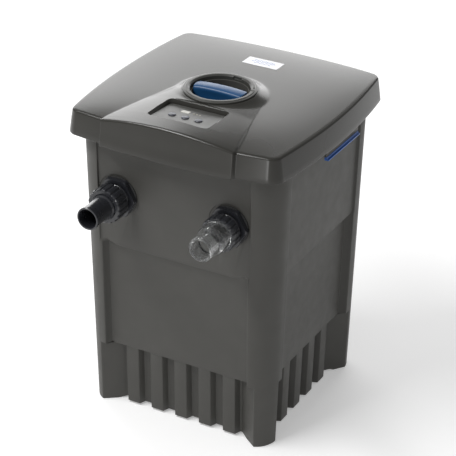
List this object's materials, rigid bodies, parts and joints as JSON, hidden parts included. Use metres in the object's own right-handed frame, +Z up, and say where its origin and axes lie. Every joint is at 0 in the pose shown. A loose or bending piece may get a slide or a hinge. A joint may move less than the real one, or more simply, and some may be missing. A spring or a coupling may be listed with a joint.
{
  "type": "box pond filter",
  "caption": "Box-shaped garden pond filter with a bowed lift-off lid, twist-out lamp unit, tilted control panel, side latches, front hose tails and a rear pipe outlet.",
  "frame": {"origin": "middle of the footprint, on the surface that the four feet stand on", "axes": "+Z up; -Y is the front with the two hose fittings, +Y the rear with the outlet, +X the right-hand side"},
  "size_m": [0.377, 0.497, 0.518],
  "materials": {
    "tank_plastic": "fine-grained moulded plastic, warm dark grey",
    "lid_plastic": "satin moulded plastic, warm dark grey",
    "ring_plastic": "satin moulded plastic, mid grey",
    "seal_rubber": "soft black rubber",
    "black_plastic": "smooth black plastic",
    "clear_plastic": "clear moulded plastic",
    "grey_plastic": "grey moulded plastic",
    "screw_steel": "stainless steel",
    "coarse_foam": "open-cell blue foam",
    "fine_foam": "open-cell red foam",
    "handle_blue": "satin blue plastic",
    "latch_blue": "satin blue plastic",
    "button_plastic": "soft grey-blue keypad",
    "label_white": "blank white label",
    "display_plastic": "pale display window",
    "light_lens": "small clear lenses",
    "board_green": "green circuit board",
    "ballast_metal": "plain metal case",
    "quartz": "clear quartz tube",
    "lamp_glass": "twin-tube lamp glass"
  },
  "bodies": {
    "root": {"tank_shell": "tank_plastic", "inlet_gasket": "seal_rubber", "inlet_bulkhead": "black_plastic", "inlet_locknut": "black_plastic", "inlet_sealing_ring": "seal_rubber", "inlet_hose_tail": "black_plastic", "drain_gasket": "seal_rubber", "drain_bulkhead": "black_plastic", "drain_locknut": "black_plastic", "drain_sealing_ring": "seal_rubber", "drain_hose_tail": "clear_plastic", "outlet_gasket": "seal_rubber", "outlet_stub": "grey_plastic", "outlet_screws": "screw_steel", "foam_support_grid": "grey_plastic", "foam_top_grid": "grey_plastic", "divider_wall": "grey_plastic", "coarse_foam_left": "coarse_foam", "fine_foam_left": "fine_foam", "fine_foam_right": "fine_foam", "coarse_foam_right": "coarse_foam", "inlet_pipe": "black_plastic", "sludge_riser": "black_plastic", "lamp_housing": "black_plastic", "pump_motor": "black_plastic", "pump_volute": "black_plastic", "pump_strainer": "black_plastic", "pump_feet": "black_plastic", "latch_right_pin": "screw_steel", "latch_left_pin": "screw_steel"},
    "inlet_nut": {"inlet_union_nut": "black_plastic"},
    "drain_nut": {"drain_union_nut": "black_plastic"},
    "impeller": {"pump_impeller": "grey_plastic"},
    "lid": {"lid_shell": "lid_plastic", "lid_seal": "seal_rubber", "blank_label": "label_white", "lock_ring": "ring_plastic", "cable_gland": "black_plastic", "control_fascia": "ring_plastic", "display_window": "display_plastic", "status_lights": "light_lens", "control_board": "board_green", "ballast_tray": "black_plastic", "lamp_ballast": "ballast_metal", "tray_screws": "screw_steel"},
    "lamp_unit": {"lamp_cup": "tank_plastic", "twist_handle": "handle_blue", "lamp_socket": "black_plastic", "quartz_sleeve": "quartz", "uvc_lamp": "lamp_glass", "cup_sealing_ring": "seal_rubber"},
    "button_left": {"button_left": "button_plastic"},
    "button_middle": {"button_middle": "button_plastic"},
    "button_right": {"button_right": "button_plastic"},
    "latch_right": {"latch_right": "latch_blue"},
    "latch_left": {"latch_left": "latch_blue"}
  },
  "joints": [
    {"name": "lid_lift", "type": "slide", "parent": "root", "child": "lid", "axis": [0, 0, 1], "range_m": [0, 0.32]},
    {"name": "lamp_twist", "type": "hinge", "parent": "lid", "child": "lamp_unit", "pos_m": [0, -0.025, 0.5], "axis": [0, 0, 1], "range_deg": [0, 60]},
    {"name": "latch_right_release", "type": "hinge", "parent": "root", "child": "latch_right", "pos_m": [0.169, 0.0415, 0.452], "axis": [0, -1, 0], "range_deg": [0, 10], "stiffness_Nm_per_rad": 0.6},
    {"name": "latch_left_release", "type": "hinge", "parent": "root", "child": "latch_left", "pos_m": [-0.169, 0.0415, 0.452], "axis": [0, 1, 0], "range_deg": [0, 10], "stiffness_Nm_per_rad": 0.6},
    {"name": "inlet_nut_spin", "type": "hinge", "parent": "root", "child": "inlet_nut", "pos_m": [-0.093, -0.19, 0.375], "axis": [0, -1, 0], "continuous": true},
    {"name": "drain_nut_spin", "type": "hinge", "parent": "root", "child": "drain_nut", "pos_m": [0.093, -0.19, 0.375], "axis": [0, -1, 0], "continuous": true},
    {"name": "impeller_spin", "type": "hinge", "parent": "root", "child": "impeller", "pos_m": [0.05, -0.08, 0.047], "axis": [1, 0, 0], "continuous": true},
    {"name": "button_left_press", "type": "slide", "parent": "lid", "child": "button_left", "axis": [0, -0.0837, -0.9965], "range_m": [0, 0.001], "stiffness_N_per_m": 300},
    {"name": "button_middle_press", "type": "slide", "parent": "lid", "child": "button_middle", "axis": [0, -0.0837, -0.9965], "range_m": [0, 0.001], "stiffness_N_per_m": 300},
    {"name": "button_right_press", "type": "slide", "parent": "lid", "child": "button_right", "axis": [0, -0.0837, -0.9965], "range_m": [0, 0.001], "stiffness_N_per_m": 300}
  ]
}
